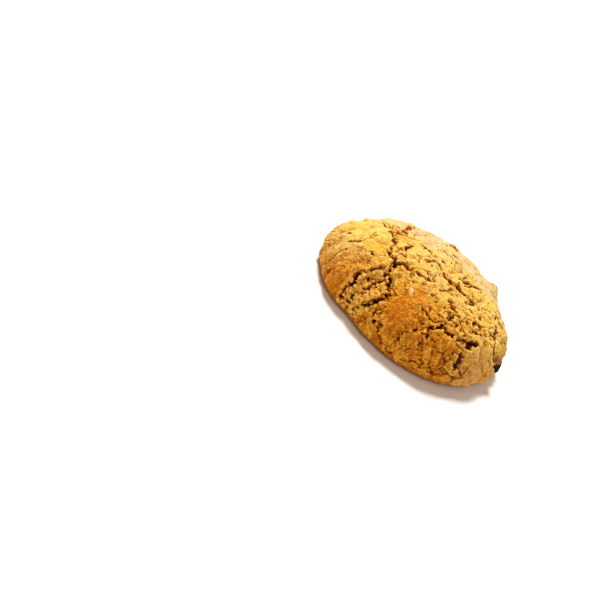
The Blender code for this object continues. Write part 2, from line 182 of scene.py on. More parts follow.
# A crack is a row of deeper holes joined by shallower stretches: the noise's width and shift, the noise at
# the shallowest and at the deepest, the least share of the depth and what a hole adds to it
BEADING_NOISE = (2.3, 37.0)
BEADING_EDGE = (-0.25, 0.3)
BEADING_DEPTHS = (0.25, 0.95)
# A fine crack's least share of its depth, and how much of the chipping it has
FINE_BEADING = 0.6
FINE_CHIPPING = 0.5
# How far chips broke off a crack's sides, where its wall starts and ends and where its lip stands, in half
# widths, and the lip's height
CHIPPED_REACH = 0.9
CRACK_WALL = (0.5, 1.25)
LIP_PLACE = 2.3
LIP_HEIGHT = 0.3
# How closely a crack's route follows the dome
ROUTE_STEP = 2.0
# Relief fades out below this height over the table
FOOT_FADE = 3.0

# Where a patch fades out, in shares of its radius, and how its edge wobbles: share, noise width and shift
PATCH_EDGE = (0.6, 1.15)
SMOOTH_WOBBLE = (0.3, 3.2, 171.0)
CRUMB_WOBBLE = (0.3, 2.6, 131.0)
GLAZE_AND_SHADE_WOBBLE = (0.5, 2.8, 151.0)
PINKISH_WOBBLE = (0.5, 2.2, 181.0)

# Crust broken into cells that step and tip against each other: cell size, salt, height of a step, height of
# a tilt, how much of both is lost on smooth crust and in crumb, and how the pattern is bent: reach, noise
# width and three shifts
Layer = namedtuple("Layer", "size salt step tilt lost_on_smooth lost_in_crumb bends")
PLATES = Layer(
    5.0, 29, 0.6, 0.9, 0.75, 0.0, ((1.2, 3.4, (201.0, 223.0, 251.0)), (0.3, 0.8, (261.0, 273.0, 281.0)))
)
FLAKES = Layer(
    2.2, 43, 0.28, 0.55, 0.85, 0.8, ((0.55, 1.7, (601.0, 623.0, 651.0)), (0.15, 0.5, (661.0, 673.0, 681.0)))
)
CHIPS = Layer(1.05, 57, 0.18, 0.34, 0.8, 0.6, ((0.3, 0.8, (701.0, 723.0, 751.0)),))
GRANULES = Layer(2.2, 11, 0.0, 0.0, 0.0, 0.0, ((0.35, 1.3, (501.0, 523.0, 551.0)),))

# Coarse crumb: how steeply a granule falls off, the share of lost ones and how deep they leave it, how far
# the crumb lies below the crust, and how far the crust rises at its edge
GRANULE_FALL = 2.0
GRANULES_LOST = 0.22
LOST_GRANULE_DEPTH = 1.3
CRUMB_DROP = 0.75
CRUMB_EDGE_RISE = 1.6

# Crackle between the plates and gaps between the flakes: where it is open (noise width and shift, noise at
# which it starts and is full), a groove's wall in cell sizes, its share where the crackle is shut, its depth
CRACKLE_NOISE = (4.5, 301.0)
CRACKLE_EDGE = (-0.05, 0.25)
GROOVE_WALL = (0.015, 0.065)
SHUT_GROOVE = 0.03
GROOVE_DEPTH = 0.6
FLAKE_GAP_WALL = (0.0, 0.07)
FLAKES_WITHOUT_GAP = 0.55
FLAKE_GAP_DEPTH = 0.25

# Chips of skin start between these heights over the table, and some are lost: share, wall and depth of a pit
CHIPS_START = (1.0, 6.0)
CHIPS_LOST = 0.012
PIT_WALL = (0.42, 0.58)
PIT_DEPTH = 0.7
# The skin's own grain: height, noise width and shift, and its share on smooth crust
SKIN_GRAIN = ((0.12, 1.2, 411.0), (0.10, 0.62, 431.0))
SMOOTH_SKIN = 0.3

# Where the bake's colours begin and end, in millimetres across the plan or above the table: the brown in
# front and low down is partly baking and partly painted shade, and the cream band at the back is painted
# sheen. Then how strong the low brown is, how much paler the right end is, and how the edges waver: reach,
# noise width and shift
FRONT_BAKE_AND_SHADE = (-8.0, -27.0)
FRONT_WAVER = (3.0, 7.0, 811.0)
RIGHT_END = (18.0, 30.0)
RIGHT_END_PALER = 0.35
LOW_BAKE_AND_SHADE = (13.0, 5.0)
LOW_WAVER = (2.0, 6.0, 821.0)
LOW_BAKE_AND_SHADE_SHARE = 0.55
SHEEN_STARTS = (3.0, 15.0)
SHEEN_ENDS = (21.0, 28.0)
SHEEN_WAVER = (2.5, 4.0, 831.0)
UNDERSIDE_EDGE = (0.4, 2.6)
# The depth at which a crack is fully dark with painted shade
CRACK_SHADE_DEPTH = 1.5

# Hollows and ridges are how far the surface lies from its neighbours' mean. The finish puts painted shade in
# the hollows and painted highlights on the ridges. Rounds of smoothing, the depth that counts in full and
# its share;
# then the most that a hollow counts, and the height of a full ridge
NARROW_ROUNDS, NARROW_HOLLOW, NARROW_SHARE = 10, 0.28, 0.55
WIDE_ROUNDS, WIDE_HOLLOW, WIDE_SHARE = 60, 0.55, 0.6
DEEPEST_HOLLOW = 1.5
FULL_RIDGE = 0.16

# Mesh fineness
CUBE_CUTS = 127
UNDERSIDE_DENSITY = 0.12

# The camera: how far above the table's plane it looks from, how it is rolled, and where the cookie sits
CAMERA_ELEVATION = math.radians(29.0)
CAMERA_ROLL = math.radians(36.7)
CAMERA_DISTANCE = 0.9
FRAME_WIDTH = 0.2092
SIDE_SHIFT = 0.0394
UP_SHIFT = 0.0009
SENSOR = 36.0
NEAR_CLIP = 0.01

# Mixing whole numbers into even random ones
HASH_PRIMES = (73856093, 19349663, 83492791)
HASH_SALT = 2654435761
HASH_MIXER = 0x45D9F3B
HASH_BITS = 0xFFFFFFFF


def smooth_step(low, high, value):
    """0 below low, 1 above high, with an S curve between them."""
    t = np.clip((value - low) / (high - low), 0.0, 1.0)
    return t * t * (3.0 - 2.0 * t)


def noise_at(points, width, shift):
    """Smooth noise from -1 to 1 at each point, with bumps about this width across."""
    return np.array([noise.noise(Vector(p)) for p in points / width + shift])


def wavering(values, points, waver):
    """Values moved by noise: its reach, width and shift."""
    reach, width, shift = waver
    return values + reach * noise_at(points, width, shift)


def bent_by(points, bends):
    """Points moved by three noises at each bend, so that a pattern read there is uneven."""
    bent = points.copy()
    for reach, width, shifts in bends:
        bent += reach * np.stack([noise_at(points, width, shift) for shift in shifts], axis=1)
    return bent


def scramble(whole, salt):
    """An even random share from 0 to 1 for each row of whole numbers, the same each time."""
    x, y, z = (whole[..., k] * prime for k, prime in enumerate(HASH_PRIMES))
    h = ((x ^ y ^ z) + salt * HASH_SALT) & HASH_BITS
    for _ in range(2):
        h = ((h ^ (h >> 16)) * HASH_MIXER) & HASH_BITS
    return ((h ^ (h >> 16)) & 0xFFFFFF) / float(0x1000000)


def cells(points, layer):
    """A layer's cells: distance to the nearest and next middle in cell sizes, the cell's luck and tilt."""
    scaled = bent_by(points, layer.bends) / layer.size
    base = np.floor(scaled).astype(np.int64)
    first = np.full(len(points), np.inf)
    second = np.full(len(points), np.inf)
    luck = np.zeros(len(points))
    tilt = np.zeros(len(points))
    for step in np.ndindex(3, 3, 3):
        corner = base + np.array(step) - 1
        away = scaled - corner - np.stack([scramble(corner, layer.salt + k) for k in (1, 2, 3)], axis=-1)
        distance = np.linalg.norm(away, axis=1)
        nearer = distance < first
        second = np.where(nearer, first, np.minimum(second, distance))
        first = np.where(nearer, distance, first)
        luck = np.where(nearer, scramble(corner, layer.salt + 4), luck)
        lean = np.stack([scramble(corner, layer.salt + k) - 0.5 for k in (5, 6, 7)], axis=-1)
        tilt = np.where(nearer, np.sum(away * lean, axis=1), tilt)
    return first, second, luck, tilt


def layer_height(layer, luck, tilt, smooth, crumb):
    """How high a layer's cells stand: less where the crust is smooth or crumb is open."""
    kept = (1.0 - layer.lost_on_smooth * smooth) * (1.0 - layer.lost_in_crumb * crumb)
    return kept * ((luck - 0.5) * layer.step + tilt * layer.tilt)


def rim_radius(theta):
    """The rim's radius at each angle: RADIUS with the swells and flats."""
    radius = np.full(np.shape(theta), RADIUS)
    for bearing, half_width, rise in RIM_SWELLS:
        away = (np.degrees(theta) - bearing + 180.0) % 360.0 - 180.0
        radius = radius + rise * np.exp(-((away / half_width) ** 2))
    return radius


def profile_table(steps=400):
    """The dough's section from the top over the edge to the middle underneath: share, inset, height."""
    turn = np.linspace(0.0, math.pi / 2.0, steps)
    dome_share = np.sin(turn) ** (2.0 / DOME_FULLNESS)
    dome = (dome_share, np.zeros(steps), RIM_HEIGHT + (HEIGHT - RIM_HEIGHT) * np.cos(turn))
    edge = (np.ones(steps), 1.0 - np.cos(turn), RIM_HEIGHT * (1.0 - np.sin(turn)))
    inwards = np.linspace(1.0, 0.0, steps)
    underside = (inwards, inwards, np.zeros(steps))
    return [np.concatenate(parts) for parts in zip(dome, edge, underside)]


def dough_points(directions):
    """Puts each direction from the middle of a sphere on the plain dough, thinly spread underneath."""
    share, inset, height = profile_table()
    radius = RADIUS * share - FOOT_INSET * inset
    strip = np.hypot(np.diff(radius), np.diff(height)) * (radius[1:] + radius[:-1])
    strip *= np.where(height[1:] > 0.0, 1.0, UNDERSIDE_DENSITY)
    covered = np.concatenate([[0.0], np.cumsum(strip)])
    covered /= covered[-1]
    place = (1.0 - directions[:, 2]) / 2.0
    share, inset, height = (np.interp(place, covered, column) for column in (share, inset, height))
    theta = np.arctan2(directions[:, 1], directions[:, 0])
    radius = rim_radius(theta) * share - FOOT_INSET * inset
    return np.stack([radius * np.cos(theta), radius * np.sin(theta), height], axis=1)


def plain_height(x, y):
    """The plain dough's height over a plan point."""
    share = math.hypot(x, y) / float(rim_radius(math.atan2(y, x)))
    return RIM_HEIGHT + (HEIGHT - RIM_HEIGHT) * math.sqrt(max(0.0, 1.0 - share**DOME_FULLNESS))


def seat(x, y, depth, bearing_degrees, step=0.05):
    """The place and turn of a thing that lies in the surface over a plan point, its middle sunk by depth."""
    slope_x = (plain_height(x + step, y) - plain_height(x - step, y)) / (2.0 * step)
    slope_y = (plain_height(x, y + step) - plain_height(x, y - step)) / (2.0 * step)
    outward = Vector((-slope_x, -slope_y, 1.0)).normalized()
    bearing = math.radians(bearing_degrees)
    cos_b, sin_b = math.cos(bearing), math.sin(bearing)
    along = Vector((cos_b, sin_b, slope_x * cos_b + slope_y * sin_b)).normalized()
    turn = Matrix((along, outward.cross(along), outward)).transposed()
    middle = Vector((x, y, plain_height(x, y))) - depth * outward
    return Matrix.Translation(middle * MM) @ turn.to_4x4()


def lifted(route):
    """A crack's route laid on the plain dough: its plan points and points between them, with heights."""
    way = []
    for start, end in zip(route[:-1], route[1:]):
        steps = max(1, round(math.dist(start, end) / ROUTE_STEP))
        way += [np.add(start, np.subtract(end, start) * k / steps) for k in range(steps)]
    way.append(np.array(route[-1]))
    return [np.array([x, y, plain_height(x, y)]) for x, y in way]


def distance_to_route(points, route):
    """How far each point is from a crack's route."""
    nearest = np.full(len(points), np.inf)
    way = lifted(route)
    for start, end in zip(way[:-1], way[1:]):
        along = end - start
        t = np.clip((points - start) @ along / (along @ along), 0.0, 1.0)
        nearest = np.minimum(nearest, np.linalg.norm(points - start - t[:, None] * along, axis=1))
    return nearest


def patches(points, places, wobble):
    """The largest share of any round patch at each point, with a wobbly edge: (x, y, radius, strength)."""
    share, width, shift = wobble
    moved = share * noise_at(points, width, shift)
    total = np.zeros(len(points))
    for x, y, radius, strength in places:
        reach = np.hypot(points[:, 0] - x, points[:, 1] - y) / radius + moved
        total = np.maximum(total, strength * (1.0 - smooth_step(*PATCH_EDGE, reach)))
    return total


def crack_fields(points, chip_luck):
    """How deep the cracks are at each point and how high their lips stand, in millimetres."""
    ragged = points.copy()
    for width, reach, shift_x, shift_y in RAGGED_EDGES:
        ragged[:, 0] += reach * noise_at(points, width, shift_x)
        ragged[:, 1] += reach * noise_at(points, width, shift_y)
    strayed = ragged.copy()
    for width, reach, shift_x, shift_y in STRAYING:
        strayed[:, 0] += reach * noise_at(points, width, shift_x)
        strayed[:, 1] += reach * noise_at(points, width, shift_y)
    width, change, shift = CRACK_BREADTH_CHANGE
    breadth = 1.0 + change * noise_at(points, width, shift)
    least, hole = BEADING_DEPTHS
    beading = least + hole * smooth_step(*BEADING_EDGE, noise_at(points, *BEADING_NOISE))
    chipped = CHIPPED_REACH * (chip_luck - 0.5)
    carved, lip = np.zeros(len(points)), np.zeros(len(points))
    for _, half_width, depth, *route in CRACKS:
        away = distance_to_route(strayed, route)
        share = (away / (half_width * breadth) + chipped) / CRACK_NARROWING
        carved = np.maximum(carved, depth * (1.0 - smooth_step(*CRACK_WALL, share)))
        lip = np.maximum(lip, LIP_HEIGHT * np.exp(-((away / (half_width * breadth) - LIP_PLACE) ** 2)))
    carved *= beading * CRACK_DEEPENING
    fine_beading = np.maximum(beading, FINE_BEADING)
    for _, half_width, depth, *route in FINE_CRACKS:
        share = distance_to_route(ragged, route) / half_width + FINE_CHIPPING * chipped
        carved = np.maximum(carved, depth * fine_beading * (1.0 - smooth_step(*CRACK_WALL, share)))
    return carved, lip * (carved <= 0.0)


def opened_over_raisins(points, height, chip_luck):
    """The surface's height, brought down where a raisin shows, with an edge as uneven as the chips."""
    for name, (x, y, depth, (_, width, thickness), _) in RAISINS.items():
        level = thickness / 2.0 - depth - OPENING_DEPTH
        reach = np.linalg.norm(points - np.array([x, y, plain_height(x, y)]), axis=1) + chip_luck - 0.5
        near_raisin = 1.0 - smooth_step(*OPENING_EDGES.get(name, OPENING_EDGE), reach / width)
        height = height - near_raisin * np.maximum(0.0, height - level)
    return height


def bake_and_shade_masks(points):
    """Browner in front and low down, part baking and part painted shade; a cream band of painted sheen at
    the back; the underside edge's browning, deepened as painted shade.
    """
    x, y, z = points.T
    front = smooth_step(*FRONT_BAKE_AND_SHADE, wavering(y, points, FRONT_WAVER))
    front *= 1.0 - RIGHT_END_PALER * smooth_step(*RIGHT_END, x)
    low = smooth_step(*LOW_BAKE_AND_SHADE, wavering(z, points, LOW_WAVER))
    far = wavering(y, points, SHEEN_WAVER)
    return {
        "bake_and_shade": np.maximum(front, LOW_BAKE_AND_SHADE_SHARE * low),
        # Painted sheen: a paler band at the back for the grazing light on the far rim
        "painted_sheen": smooth_step(*SHEEN_STARTS, far) * (1.0 - smooth_step(*SHEEN_ENDS, far)),
        # The browned underside edge, darkened further as painted shade along the foot
        "under": 1.0 - smooth_step(*UNDERSIDE_EDGE, z),
    }


def crust_fields(points):
    """The baked surface's height and the masks that its finish reads, at each point of the plain dough."""
    chip_near, _, chip_luck, chip_tilt = cells(points, CHIPS)
    carved, lip = crack_fields(points, chip_luck)
    height = lip - carved
    for x, y, radius, rise in SWELLS:
        height += rise * np.exp(-((points[:, 0] - x) ** 2 + (points[:, 1] - y) ** 2) / radius**2)
    for width, rise, shift in BUMPS:
        height += rise * noise_at(points, width, shift)

    # Whole crust is smoother than broken crust
    smooth = patches(points, SMOOTH_PATCHES, SMOOTH_WOBBLE)
    crumb = patches(points, [(x, y, radius, 1.0) for x, y, radius in CRUMB_PATCHES], CRUMB_WOBBLE)

    # Coarse crumb: round granules with deep gaps
    near, _, luck, _ = cells(points, GRANULES)
    granule = 1.0 - GRANULE_FALL * near**2 - LOST_GRANULE_DEPTH * (luck < GRANULES_LOST)
    height += crumb * (granule - CRUMB_DROP) + CRUMB_EDGE_RISE * crumb * (1.0 - crumb)

    # Plates of crust, split in places by fine crackle
    near, after, plate_luck, tilt = cells(points, PLATES)
    open_here = smooth_step(*CRACKLE_EDGE, noise_at(points, *CRACKLE_NOISE)) * (1.0 - smooth)
    groove = (1.0 - smooth_step(*GROOVE_WALL, after - near)) * (1.0 - crumb)
    groove *= SHUT_GROOVE + (1.0 - SHUT_GROOVE) * open_here
    height += layer_height(PLATES, plate_luck, tilt, smooth, crumb) - GROOVE_DEPTH * groove

    # Flakes and chunks on the plates, with gaps where the crackle is open
    near, after, luck, tilt = cells(points, FLAKES)
    gap = (1.0 - smooth_step(*FLAKE_GAP_WALL, after - near)) * (luck > FLAKES_WITHOUT_GAP)
    height += layer_height(FLAKES, luck, tilt, smooth, crumb)
    height -= FLAKE_GAP_DEPTH * gap * open_here * (1.0 - crumb)

    # Crumbly skin of small chips, some of them lost
    pit = (1.0 - smooth_step(*PIT_WALL, chip_near)) * (chip_luck < CHIPS_LOST * (1.0 - smooth))
    chips = layer_height(CHIPS, chip_luck, chip_tilt, smooth, crumb)
    height += chips * smooth_step(*CHIPS_START, points[:, 2]) - PIT_DEPTH * pit
    skin = sum(rise * noise_at(points, width, shift) for rise, width, shift in SKIN_GRAIN)
    height += (SMOOTH_SKIN + (1.0 - SMOOTH_SKIN) * (1.0 - smooth)) * skin

    top = smooth_step(0.0, FOOT_FADE, points[:, 2])
    height = opened_over_raisins(points, height * top, chip_luck)
    masks = {
        "crack": np.clip(carved / CRACK_SHADE_DEPTH, 0.0, 1.0) * top,
        "crumb": crumb * top,
        "groove": groove * top,
        "pit": pit * top,
        "glaze_and_shade": patches(points, GLAZE_AND_SHADE_PATCHES, GLAZE_AND_SHADE_WOBBLE),
        "pinkish": patches(points, PINKISH_PATCHES, PINKISH_WOBBLE),
        "tone": plate_luck - 0.5,
        **bake_and_shade_masks(points),
    }
    return height, masks


def ball_mesh(name, cuts):
    """A cube with each side cut into a grid and blown up to a ball."""
    shape = bmesh.new()
    bmesh.ops.create_cube(shape, size=2.0)
    bmesh.ops.subdivide_edges(shape, edges=shape.edges[:], cuts=cuts, use_grid_fill=True)
    bmesh.ops.triangulate(shape, faces=shape.faces[:])
    for vertex in shape.verts:
        even = Vector(math.tan(c * math.pi / 4.0) for c in vertex.co)
        vertex.co = even.normalized()
    mesh = bpy.data.meshes.new(name)
    shape.to_mesh(mesh)
    shape.free()
    return mesh


def vertex_array(mesh, attribute):
    """A mesh's vertex positions or normals as rows of three."""
    values = np.zeros(len(mesh.vertices) * 3, np.float32)
    mesh.vertices.foreach_get(attribute, values)
    return values.reshape(-1, 3).astype(float)


def set_vertices(mesh, points_mm):
    """Moves a mesh's vertices to these places, given in millimetres."""
    mesh.vertices.foreach_set("co", (points_mm * MM).astype(np.float32).ravel())
    mesh.update()


def set_mask(mesh, name, values):
    """Stores one number for each vertex, for the finish to read."""
    layer = mesh.attributes.new(name, "FLOAT", "POINT")
    layer.data.foreach_set("value", values.astype(np.float32))


def smoothed(mesh, values, rounds):
    """Values spread over their neighbours this many times."""
    ends = np.zeros(len(mesh.edges) * 2, np.int32)
    mesh.edges.foreach_get("vertices", ends)
    start, end = ends.reshape(-1, 2).T
    count = np.bincount(ends, minlength=len(values))
    for _ in range(rounds):
        total = np.bincount(start, values[end], len(values)) + np.bincount(end, values[start], len(values))
        values = 0.5 * values + 0.5 * total / count
    return values


def add_object(name, mesh, finish):
    """Puts a mesh in the scene with its finish, shaded smooth."""
    thing = bpy.data.objects.new(name, mesh)
    bpy.context.scene.collection.objects.link(thing)
    mesh.materials.append(finish)
    mesh.shade_smooth()
    return thing


class Finish:
    """A procedural material, with short ways to add and join its nodes."""

    def __init__(self, name, roughness, specular):
        self.material = bpy.data.materials.new(name)
        self.material.use_nodes = True
        self.tree = self.material.node_tree
        self.shader = self.tree.nodes["Principled BSDF"]
        self.shader.inputs["Roughness"].default_value = roughness
        self.shader.inputs["Specular IOR Level"].default_value = specular
        self.place = self.tree.nodes.new("ShaderNodeTexCoord").outputs["Object"]

    def put(self, socket, value):
        """Joins a socket to an output, or sets it to a value."""
        if isinstance(value, bpy.types.NodeSocket):
            self.tree.links.new(value, socket)
        else:
            socket.default_value = value

    def mask(self, name):
        """A vertex mask by name."""
        node = self.tree.nodes.new("ShaderNodeAttribute")
        node.attribute_name = name
        return node.outputs["Fac"]

    def noise(self, size_mm, detail=3.0, rough=0.55):
        """Noise with bumps of this size."""
        node = self.tree.nodes.new("ShaderNodeTexNoise")
        self.put(node.inputs["Vector"], self.place)
        node.inputs["Scale"].default_value = 1.0 / (size_mm * MM)
        node.inputs["Detail"].default_value = detail
        node.inputs["Roughness"].default_value = rough
        return node.outputs["Fac"]

    def cells(self, size_mm):
        """The distance to the nearest middle of scattered cells of this size."""
        node = self.tree.nodes.new("ShaderNodeTexVoronoi")
        self.put(node.inputs["Vector"], self.place)
        node.inputs["Scale"].default_value = 1.0 / (size_mm * MM)
        return node.outputs["Distance"]

    def math(self, operation, a, b):
        """One sum, product or other operation on two numbers."""
        node = self.tree.nodes.new("ShaderNodeMath")
        node.operation = operation
        self.put(node.inputs[0], a)
        self.put(node.inputs[1], b)
        return node.outputs[0]

    def times(self, a, b):
        """The product of two numbers."""
        return self.math("MULTIPLY", a, b)

    def ramp(self, value, low, high, to_low=0.0, to_high=1.0):
        """value from low..high mapped to to_low..to_high, held at the ends."""
        node = self.tree.nodes.new("ShaderNodeMapRange")
        self.put(node.inputs["Value"], value)
        for socket, number in zip(node.inputs[1:5], (low, high, to_low, to_high)):
            socket.default_value = number
        return node.outputs["Result"]

    def mix(self, share, first, second):
        """Blends two colours by a share."""
        node = self.tree.nodes.new("ShaderNodeMix")
        node.data_type = "RGBA"
        self.put(node.inputs["Factor"], share)
        for socket, value in ((node.inputs[6], first), (node.inputs[7], second)):
            self.put(socket, (*value, 1.0) if isinstance(value, tuple) else value)
        return node.outputs[2]

    def bump(self, height, strength, distance_mm):
        """Fine relief from a height."""
        node = self.tree.nodes.new("ShaderNodeBump")
        self.put(node.inputs["Height"], height)
        node.inputs["Strength"].default_value = strength
        node.inputs["Distance"].default_value = distance_mm * MM
        self.put(self.shader.inputs["Normal"], node.outputs["Normal"])


# Colours, in linear light
GOLD = (0.83, 0.47, 0.045)
PALE_GOLD = (0.86, 0.62, 0.165)
TOASTED_GOLD = (0.74, 0.29, 0.010)
ORANGE_BROWN = (0.51, 0.130, 0.003)
AMBER = (0.57, 0.150, 0.002)
PALE_PINK = (0.68, 0.34, 0.12)
CRUMB_GOLD = (0.82, 0.47, 0.070)
SHEEN_CREAM = (0.80, 0.59, 0.36)
BRIGHT_GOLD = (0.92, 0.52, 0.07)
CRACK_RED_AND_SHADE = (0.40, 0.065, 0.002)
DEEP_SHADE_BROWN = (0.045, 0.006, 0.001)
HOLLOW_SHADE_BROWN = (0.34, 0.062, 0.002)
BAKED_BROWN_AND_SHADE = (0.44, 0.14, 0.012)
PALE_OAT = (0.80, 0.50, 0.20)
TOASTED_OAT = (0.74, 0.34, 0.08)
RAISIN_BLACK = (0.035, 0.006, 0.002)
RAISIN_RED = (0.13, 0.022, 0.004)
BARE_SHADED_BLACK = (0.012, 0.006, 0.004)
PALE_LIT_FILM = (0.50, 0.21, 0.075)
BROWN_LIT_FILM = (0.27, 0.075, 0.022)
FLOOR_WHITE = (0.92, 0.92, 0.92, 1.0)
WARM_SURROUNDINGS = (1.0, 0.78, 0.56, 1.0)


def crust_finish():
    """Golden crust, browner in front partly as painted shade: amber where glazed and as painted shade on the
    lower left, paler on raised places as painted highlights, and dark in cracks with painted shade.
    """
    f = Finish("baked_crust", 0.65, 0.015)
    # Brown in front and low down: partly baking, partly painted shade on the side turned from the light
    bake_and_shade = f.mask("bake_and_shade")
    more_in_front = f.ramp(bake_and_shade, 0.0, 1.0, 0.42, 1.0)
    less_in_front = f.ramp(bake_and_shade, 0.0, 1.0, 1.0, 0.65)

    # Gold behind with a cream band of painted sheen, brown in front that is partly painted shade, and plates
    # of their own tones
    gold = f.mix(f.ramp(f.noise(7.0, 3.0), 0.38, 0.62), GOLD, PALE_GOLD)
    # Painted sheen: a cream band at the back stands for grazing light on the far rim
    gold = f.mix(f.times(f.mask("painted_sheen"), 0.85), gold, SHEEN_CREAM)
    brown = f.mix(f.ramp(f.noise(2.4, 4.0, 0.6), 0.40, 0.60), ORANGE_BROWN, TOASTED_GOLD)
    colour = f.mix(f.times(bake_and_shade, 0.9), gold, brown)
    toasted = f.ramp(f.mask("tone"), -0.2, 0.5, 0.0, 0.6)
    colour = f.mix(f.times(toasted, more_in_front), colour, TOASTED_GOLD)
    browned = f.ramp(f.noise(1.6, 4.0, 0.65), 0.53, 0.62, 0.0, 0.55)
    colour = f.mix(f.times(browned, more_in_front), colour, ORANGE_BROWN)

    # Patches
    # Amber glaze, which on the lower left also stands as painted shade
    colour = f.mix(f.times(f.mask("glaze_and_shade"), 0.9), colour, AMBER)
    colour = f.mix(f.mask("pinkish"), colour, PALE_PINK)
    colour = f.mix(f.times(f.mask("crumb"), 0.8), colour, CRUMB_GOLD)

    # Pale grain and brown specks, and painted highlights that make the ridges pale
    light = f.mix(bake_and_shade, PALE_GOLD, BRIGHT_GOLD)
    grain = f.ramp(f.noise(0.9, 3.0, 0.6), 0.50, 0.60, 0.0, 0.7)
    colour = f.mix(f.times(grain, less_in_front), colour, light)
    specks = f.ramp(f.noise(0.7, 3.0, 0.7), 0.53, 0.61, 0.0, 0.75)
    colour = f.mix(f.times(specks, more_in_front), colour, ORANGE_BROWN)
    ridges = f.ramp(f.mask("ridge"), 0.3, 1.0, 0.0, 0.8)
    colour = f.mix(f.times(ridges, less_in_front), colour, light)

    # Painted shade in hollows, and in crackle, cracks and pits a red-brown that is partly their own colour
    # and partly painted shade, down to nearly black painted shade in the deepest; then the browned
    # underside, deepened as painted shade
    colour = f.mix(f.ramp(f.mask("hollow_shade"), 0.1, 0.8, 0.0, 0.9), colour, HOLLOW_SHADE_BROWN)
    colour = f.mix(f.times(f.mask("groove"), 0.7), colour, CRACK_RED_AND_SHADE)
    colour = f.mix(f.ramp(f.mask("crack"), 0.04, 0.25, 0.0, 0.95), colour, CRACK_RED_AND_SHADE)
    colour = f.mix(f.ramp(f.mask("hollow_shade"), 0.7, 1.4, 0.0, 0.9), colour, DEEP_SHADE_BROWN)
    colour = f.mix(f.times(f.mask("pit"), 0.8), colour, CRACK_RED_AND_SHADE)
    colour = f.mix(f.ramp(f.mask("crack"), 0.36, 0.82, 0.0, 0.97), colour, DEEP_SHADE_BROWN)
    # The underside edge is browned, and darkened further as painted shade along the foot
    colour = f.mix(f.times(f.mask("under"), 0.85), colour, BAKED_BROWN_AND_SHADE)

    f.put(f.shader.inputs["Base Color"], colour)
    f.put(f.shader.inputs["Roughness"], f.ramp(f.mask("glaze_and_shade"), 0.0, 1.0, 0.72, 0.5))
    f.bump(f.math("ADD", f.noise(0.7, 5.0, 0.7), f.times(f.cells(0.7), 0.5)), 1.0, 0.45)
    return f.material


def crumb_finish():
    """Coarse crumb: golden, with paler tips and red-brown painted shade where the crumbs sit in the crust.
    """
    f = Finish("coarse_crumb", 0.75, 0.015)
    colour = f.mix(f.ramp(f.noise(1.8, 2.0), 0.42, 0.62), CRUMB_GOLD, TOASTED_GOLD)
    colour = f.mix(f.ramp(f.noise(0.7, 3.0), 0.46, 0.64, 0.0, 0.75), colour, PALE_GOLD)
    # Painted shade: red-brown and darker where the crumb sits in the crust
    colour = f.mix(f.ramp(f.mask("sunk_shade"), 0.0, 0.6, 0.0, 0.85), colour, ORANGE_BROWN)
    colour = f.mix(f.ramp(f.mask("sunk_shade"), 0.5, 1.0, 0.0, 0.9), colour, HOLLOW_SHADE_BROWN)
    f.put(f.shader.inputs["Base Color"], colour)
    f.bump(f.noise(0.5, 4.0, 0.7), 0.7, 0.25)
    return f.material


def oat_finish():
    """Pale rolled oats, toasted in places."""
    f = Finish("rolled_oat", 0.6, 0.2)
    colour = f.mix(f.ramp(f.noise(0.9, 3.0), 0.40, 0.65), PALE_OAT, TOASTED_OAT)
    f.put(f.shader.inputs["Base Color"], colour)
    f.bump(f.noise(0.35, 3.0, 0.6), 0.4, 0.12)
    return f.material


def raisin_finish():
    """Dark raisin skin: black where it is bare, brown where thin dough is left on it; on the edge raisin the
    film on the upper side is also painted light and the black lower tip painted shade.
    """
    f = Finish("raisin_skin", 0.5, 0.12)
    colour = f.mix(f.ramp(f.noise(1.2, 3.0), 0.4, 0.7), RAISIN_BLACK, RAISIN_RED)
    colour = f.mix(f.mask("bare_shaded_tip"), colour, BARE_SHADED_BLACK)
    lit_film = f.mix(f.ramp(f.noise(0.8, 3.0), 0.4, 0.65), PALE_LIT_FILM, BROWN_LIT_FILM)
    colour = f.mix(f.mask("lit_film"), colour, lit_film)
    f.put(f.shader.inputs["Base Color"], colour)
    f.bump(f.noise(0.35, 3.0), 0.4, 0.12)
    return f.material


def add_crust(finish):
    """The dough's whole surface as one fine mesh."""
    mesh = ball_mesh("crust", CUBE_CUTS)
    points = dough_points(vertex_array(mesh, "co"))
    set_vertices(mesh, points)
    normals = vertex_array(mesh, "normal")
    height, masks = crust_fields(points)
    places = points + height[:, None] * normals
    places[:, 2] = np.maximum(places[:, 2], 0.0)
    set_vertices(mesh, places)
    top = smooth_step(0.0, FOOT_FADE, points[:, 2])
    near = smoothed(mesh, height, NARROW_ROUNDS) - height
    wide = smoothed(mesh, height, WIDE_ROUNDS) - height
    narrow_hollow = np.clip(near / NARROW_HOLLOW, 0.0, DEEPEST_HOLLOW) * NARROW_SHARE
    wide_hollow = np.clip(wide / WIDE_HOLLOW, 0.0, DEEPEST_HOLLOW) * WIDE_SHARE
    # Painted shade: the finish darkens the hollows by this mask
    masks["hollow_shade"] = (narrow_hollow + wide_hollow) * top
    # Painted highlight: the finish makes the ridges paler by this mask
    masks["ridge"] = np.clip(-near / FULL_RIDGE, 0.0, 1.0) * top
    for name, values in masks.items():
        set_mask(mesh, name, values)
    crust = add_object("crust", mesh, finish)
    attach(crust, "root")
    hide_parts("cookie")
    return places, normals, masks


def blob_template(detail):
    """The vertices and faces of a small ball."""
    shape = bmesh.new()
    bmesh.ops.create_icosphere(shape, subdivisions=detail, radius=1.0)
    points = np.array([v.co[:] for v in shape.verts])
    faces = np.array([[v.index for v in face.verts] for face in shape.faces])
    shape.free()
    return points, faces


